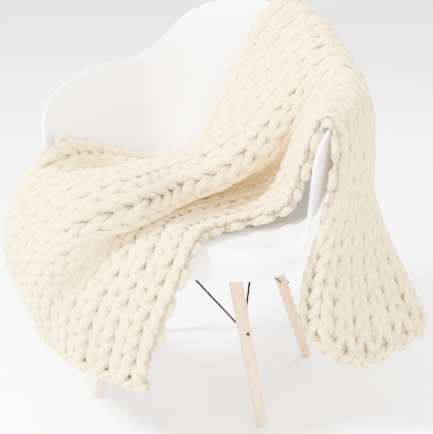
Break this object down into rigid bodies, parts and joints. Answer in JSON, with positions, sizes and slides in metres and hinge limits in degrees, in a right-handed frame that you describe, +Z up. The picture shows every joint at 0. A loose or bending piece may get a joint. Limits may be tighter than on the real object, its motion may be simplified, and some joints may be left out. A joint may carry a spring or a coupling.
{
  "type": "knit blanket on a shell chair",
  "caption": "Chunky cream knit blanket thrown across a moulded shell chair with splayed wooden legs, hanging down over the seat's front and over one arm.",
  "frame": {"origin": "middle of the bounding box, on the floor", "axes": "+Z up; the chair faces -Y; +X is to the right as seen from in front of the chair, the side whose arm the blanket hangs over"},
  "size_m": [0.9408, 0.7013, 0.8607],
  "materials": {
    "cream_yarn": "soft, matt, napped",
    "white_plastic": "smooth, satin",
    "pale_wood": "oiled, satin",
    "black_metal": "satin",
    "black_rubber": "matt"
  },
  "bodies": {
    "root": {"blanket": "cream_yarn", "shell": "white_plastic", "leg_front_left": "pale_wood", "leg_front_right": "pale_wood", "leg_rear_left": "pale_wood", "leg_rear_right": "pale_wood", "seat_plate": "black_metal", "bolt_front_left": "black_metal", "bolt_front_right": "black_metal", "bolt_rear_left": "black_metal", "bolt_rear_right": "black_metal", "rod_front_left_across": "black_metal", "rod_front_left_along": "black_metal", "rod_front_right_across": "black_metal", "rod_front_right_along": "black_metal", "rod_rear_left_across": "black_metal", "rod_rear_left_along": "black_metal", "rod_rear_right_across": "black_metal", "rod_rear_right_along": "black_metal", "block_front_left": "black_rubber", "block_front_right": "black_rubber", "block_rear_left": "black_rubber", "block_rear_right": "black_rubber", "pad_front_left": "black_rubber", "pad_front_right": "black_rubber", "pad_rear_left": "black_rubber", "pad_rear_right": "black_rubber"}
  },
  "joints": []
}
